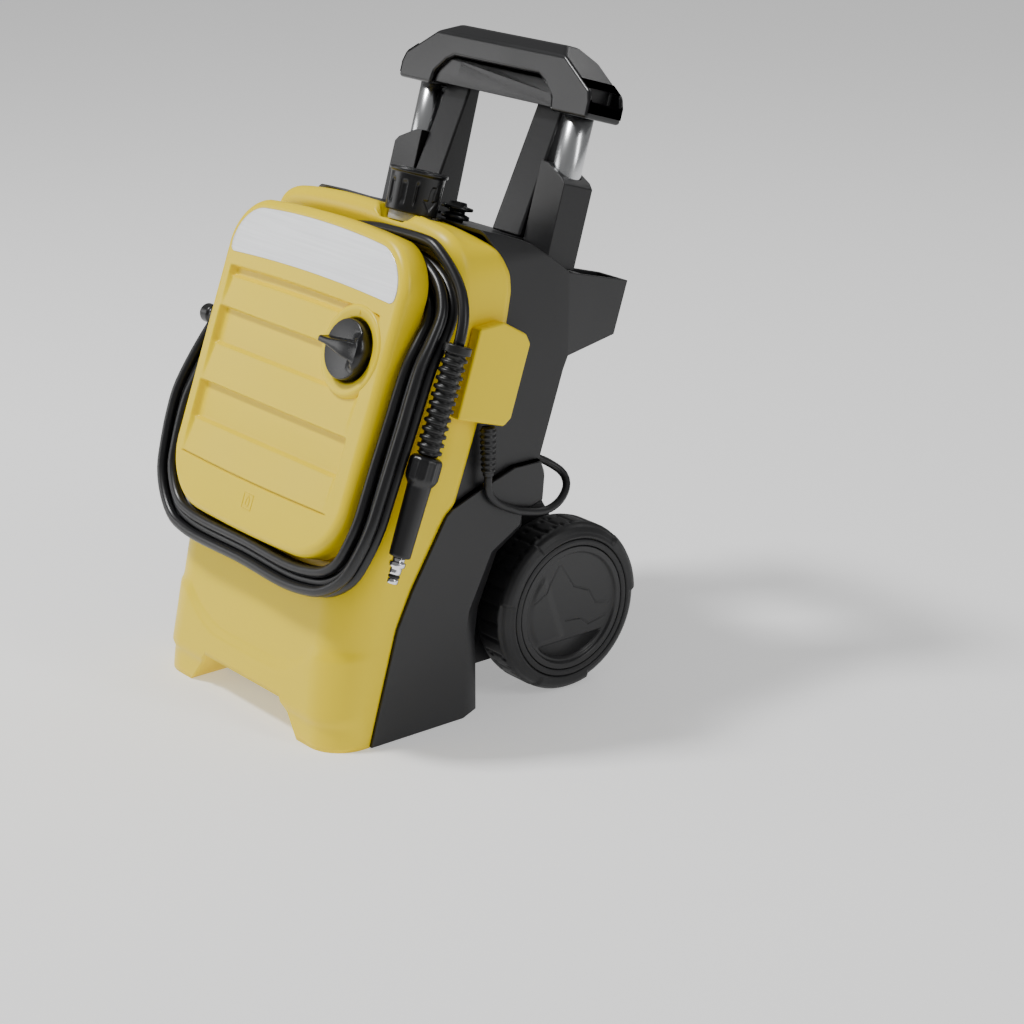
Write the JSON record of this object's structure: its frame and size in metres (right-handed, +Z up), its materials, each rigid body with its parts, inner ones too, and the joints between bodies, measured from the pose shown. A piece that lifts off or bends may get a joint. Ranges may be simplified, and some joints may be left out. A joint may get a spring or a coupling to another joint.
{
  "type": "pressure washer",
  "caption": "compact upright pressure washer, hose wound behind the front cover, telescopic handle, two wheels, outlet coupling and rotary switch",
  "frame": {"origin": "centre of the footprint on the floor, without the cords", "axes": "+Z up, -Y to the front where the cover and switch are, +X to the washer's right as seen from the front"},
  "size_m": [0.3601, 0.3571, 0.584],
  "materials": {
    "yellow_plastic": "bright yellow moulded plastic, satin gloss with a fine grain",
    "black_plastic": "black moulded plastic, satin",
    "charcoal_plastic": "dark charcoal moulded plastic, satin",
    "wheel_plastic": "black moulded wheel plastic, matt tread",
    "grey_collar": "light grey moulded coupling socket",
    "anodised_tube": "silver anodised tube",
    "brushed_plate": "fine brushed plate",
    "chrome": "polished plating",
    "steel": "bare machined steel",
    "cast_aluminium": "die-cast, dull",
    "brass_head": "machined brass",
    "copper_winding": "enamelled winding and laminated iron",
    "hose_sheath": "black high-pressure hose sheath, semi-matt",
    "cable_sheath": "black mains cable sheath, matt"
  },
  "bodies": {
    "chassis": {"front_housing": "yellow_plastic", "base_housing": "black_plastic", "rear_housing": "black_plastic", "carry_frame": "black_plastic", "axle_clip_left": "steel", "axle_clip_right": "steel", "axle": "steel", "front_cover": "yellow_plastic", "hose_spool": "yellow_plastic", "badge_plate": "brushed_plate", "switch_unit": "charcoal_plastic", "outlet_socket": "grey_collar", "outlet_spring": "steel", "inlet_nipple": "black_plastic", "inlet_sieve": "steel", "cable_box": "yellow_plastic", "cable_gland": "cable_sheath", "cable_hook_upper": "black_plastic", "cable_hook_lower": "black_plastic", "motor_can": "steel", "bearing_lower": "steel", "bearing_upper": "steel", "motor_stator": "copper_winding", "crank_case": "cast_aluminium", "pump_block": "cast_aluminium", "piston_spring_1": "steel", "piston_spring_2": "steel", "piston_spring_3": "steel", "pump_head": "brass_head", "pressure_switch": "black_plastic", "capacitor": "charcoal_plastic", "outlet_pipe": "steel", "inlet_pipe": "cable_sheath", "hose_winding": "hose_sheath", "hose_tail": "hose_sheath", "hose_bend_protector": "hose_sheath", "hose_sleeve": "black_plastic", "hose_nipple": "chrome", "hose_end_fitting": "black_plastic", "mains_cable": "cable_sheath", "cable_winding": "cable_sheath", "mains_plug": "cable_sheath"},
    "handle": {"handle_grip": "charcoal_plastic", "handle_tube_left": "anodised_tube", "handle_tube_right": "anodised_tube"},
    "wheel_left": {"tyre_left": "wheel_plastic", "wheel_disc_left": "wheel_plastic", "wheel_cover_left": "charcoal_plastic"},
    "wheel_right": {"tyre_right": "wheel_plastic", "wheel_disc_right": "wheel_plastic", "wheel_cover_right": "charcoal_plastic"},
    "switch": {"switch_knob": "black_plastic", "switch_spindle": "black_plastic"},
    "collar": {"outlet_collar": "black_plastic"},
    "pump_drive": {"motor_shaft": "steel", "motor_rotor": "copper_winding", "swash_plate": "steel"},
    "piston_1": {"piston_1": "steel"},
    "piston_2": {"piston_2": "steel"},
    "piston_3": {"piston_3": "steel"}
  },
  "joints": [
    {"name": "handle_slide", "type": "slide", "parent": "chassis", "child": "handle", "axis": [0, 0.2874, 0.9578], "range_m": [0, 0.195]},
    {"name": "wheel_left_spin", "type": "hinge", "parent": "chassis", "child": "wheel_left", "pos_m": [-0.132, 0.0905, 0.0809], "axis": [1, 0, 0], "continuous": true},
    {"name": "wheel_right_spin", "type": "hinge", "parent": "chassis", "child": "wheel_right", "pos_m": [0.132, 0.0905, 0.0809], "axis": [1, 0, 0], "continuous": true},
    {"name": "switch_turn", "type": "hinge", "parent": "chassis", "child": "switch", "pos_m": [0.086, -0.10453, 0.34809], "axis": [0, 0.9373, -0.3486], "range_deg": [0, 90]},
    {"name": "collar_press", "type": "slide", "parent": "chassis", "child": "collar", "axis": [0, -0.2874, -0.9578], "range_m": [0, 0.006], "stiffness_N_per_m": 1500},
    {"name": "pump_shaft_spin", "type": "hinge", "parent": "chassis", "child": "pump_drive", "pos_m": [0, -0.066, 0.056], "axis": [0, 0.2419, 0.9703], "continuous": true},
    {"name": "piston_1_stroke", "type": "slide", "parent": "chassis", "child": "piston_1", "axis": [0, 0.2419, 0.9703], "range_m": [0, 0.006], "stiffness_N_per_m": 2000},
    {"name": "piston_2_stroke", "type": "slide", "parent": "chassis", "child": "piston_2", "axis": [0, 0.2419, 0.9703], "range_m": [0, 0.006], "stiffness_N_per_m": 2000},
    {"name": "piston_3_stroke", "type": "slide", "parent": "chassis", "child": "piston_3", "axis": [0, 0.2419, 0.9703], "range_m": [0, 0.006], "stiffness_N_per_m": 2000}
  ]
}
